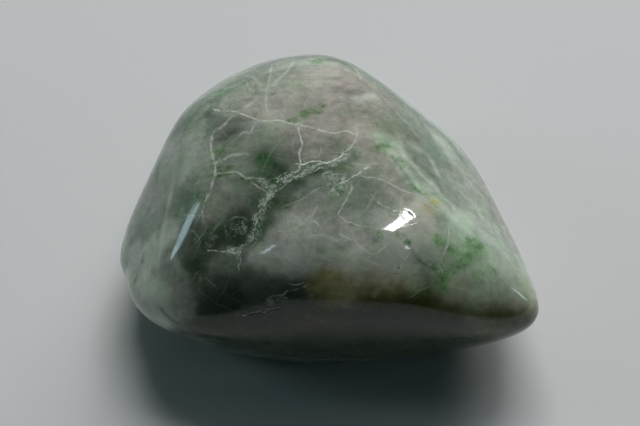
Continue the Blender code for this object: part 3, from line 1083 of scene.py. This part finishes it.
def swayed(value, name):  # a cloud that shifts a mark's edge both ways
    return times(maths("SUBTRACT", value, 0.5), jade["sway"][name])


def marks(name, output):
    return addNode("Attribute", {}, attribute_name=name).outputs[output]


where = addNode("TexCoord", {}).outputs["Object"]
inMm = addNode("Mapping", {"Vector": where, "Scale": (1 / mm, 1 / mm, 1 / mm)}).outputs[0]
grained = stretched(*jade["grained"])

laidTint = marks("tint", "Color")
lightness = addNode("SeparateColor", {"Color": laidTint}).outputs["Green"]
grit = cloud("grit")
wisps = shaped(noiseNode(grained, *jade["clouds"]["wisps"]).outputs["Fac"], "wisps")
fineTone = times(shapedCloud("mottle"), shaped(grit, "grit"))
fineTone = maths("MULTIPLY_ADD", maths("SUBTRACT", fineTone, 1.0), shaped(lightness, "calm"), 1.0)
tone = times(times(shapedCloud("smoke"), wisps), fineTone)
body = addNode("VectorMath", {0: laidTint, "Scale": tone}, operation="SCALE").outputs[0]
body = blend(shapedCloud("greener"), body, vectorMaths("MULTIPLY", body, jade["greener"]))

bend = noiseNode(inMm, *jade["clouds"]["bend"]).outputs["Color"]
bent = vectorMaths("MULTIPLY_ADD", bend, jade["bend"], stretched(*jade["drawn"]))


def fineCracks(name):  # a web of healed cracks that comes and goes
    perMm, halfWidth, strength = jade["cracks"][name]
    cells = addNode("TexVoronoi", {"Vector": bent, "Scale": perMm}, feature="DISTANCE_TO_EDGE")
    width = halfWidth * perMm
    lines = ramp(cells.outputs["Distance"], width, jade["crackCore"] * width)
    return times(lines, shaped(cloud(name + "Patches"), "crackPatches")), strength


wideWeb, wideShow = fineCracks("wide")
closeWeb, closeShow = fineCracks("close")
web = maths("MAXIMUM", times(wideWeb, wideShow), times(closeWeb, closeShow))
body = blend(times(web, shaped(lightness, "crackShade")), body, jade["crackTint"])

grown = addNode("SeparateXYZ", {"Vector": marks("growth", "Vector")}).outputs
mossEdge = maths("ADD", grown["X"], swayed(cloud("mossEdge"), "moss"))
mossStain = blend(shapedCloud("mossStain"), jade["darkMoss"], jade["brightMoss"])
mossMask = times(shaped(mossEdge, "mossEdge"), shaped(grown["X"], "mossLimit"))
mossy = vectorMaths("MULTIPLY_ADD", body, mossStain, jade["mossGlow"])
body = blend(mossMask, body, mossy)

jag = swayed(cloud("veinEdge"), "vein")
narrowing = shapedCloud("veinWidth")
veinMask = None
for name in veinNames:
    parts = addNode("SeparateXYZ", {"Vector": marks(name, "Vector")}).outputs
    across = times(maths("ADD", parts["X"], jag), narrowing)
    line = maths("EXPONENT", times(times(across, across), -1.0))
    line = times(line, parts["Y"])
    veinMask = line if veinMask is None else maths("MAXIMUM", veinMask, line)
veinMask = times(veinMask, shapedCloud("veinPatches"))
body = blend(veinMask, body, marks("lineTint", "Color"))

thickness = times(marks("growth", "Alpha"), shapedCloud("clusters"))
pits = times(shapedCloud("pits"), shaped(thickness, "pitShare"))
body = blend(pits, body, jade["pit"])
crowding = times(thickness, jade["sway"]["grains"])
speckle = maths("MULTIPLY_ADD", maths("ADD", grit, cloud("fineGrains")), 0.5, crowding)
grainMask = times(shaped(speckle, "speckle"), shaped(thickness, "speckleShare"))
grainColour = blend(shapedCloud("grainColour"), jade["greenGrain"], jade["grain"])
body = blend(grainMask, body, grainColour)
curl = maths("ABSOLUTE", maths("SUBTRACT", cloud("threads"), 0.5))
threads = times(shaped(curl, "threads"), shaped(thickness, "threadShare"))
haze = times(shapedCloud("haze"), shaped(thickness, "hazeShare"))
body = blend(maths("MAXIMUM", threads, haze), body, jade["sugar"])

fissureEdge = maths("ADD", grown["Y"], swayed(cloud("fissureEdge"), "fissure"))
brokenMask = times(shaped(fissureEdge, "fissureEdge"), shaped(grown["Y"], "fissureLimit"))
whiter = maths("ADD", grit, swayed(grown["Z"], "whiteness"))
body = blend(brokenMask, body, blend(shaped(whiter, "whiter"), jade["grit"], jade["sugar"]))
tree.links.new(body, shader.inputs["Base Color"])

dullest = jade["polish"] + jade["dullness"]
worn = ramp(cloud("wear"), *jade["ramps"]["wear"], jade["polish"], dullest)
mixed = {"Factor": brokenMask, "A": worn, "B": jade["broken"]}
roughness = addNode("Mix", mixed, data_type="FLOAT").outputs[0]
tree.links.new(roughness, shader.inputs["Roughness"])

relief = maths("SUBTRACT", times(grit, brokenMask), times(closeWeb, jade["crackRelief"]))
relief = maths("ADD", relief, times(cloud("waves"), jade["waveRelief"]))
bump = {"Height": relief, "Strength": 1.0, "Distance": jade["reliefDepth"]}
tree.links.new(addNode("Bump", bump).outputs[0], shader.inputs["Normal"])

shader.inputs["IOR"].default_value = jade["index"]
shader.inputs["Subsurface Weight"].default_value = jade["glow"]
shader.inputs["Subsurface Radius"].default_value = jade["glowReach"]
shader.inputs["Subsurface Scale"].default_value = jade["depthOfGlow"]
print("jade finish made with", len(tree.nodes), "nodes")


# stone piece

stone = bpy.data.objects.new("jadeStone", stoneMesh)
bpy.context.scene.collection.objects.link(stone)
stoneMesh.shade_smooth()
stoneMesh.materials.append(finish)
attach(stone, "root")
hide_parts("jade_stone")
print("stone piece:", len(stoneMesh.polygons), "faces")
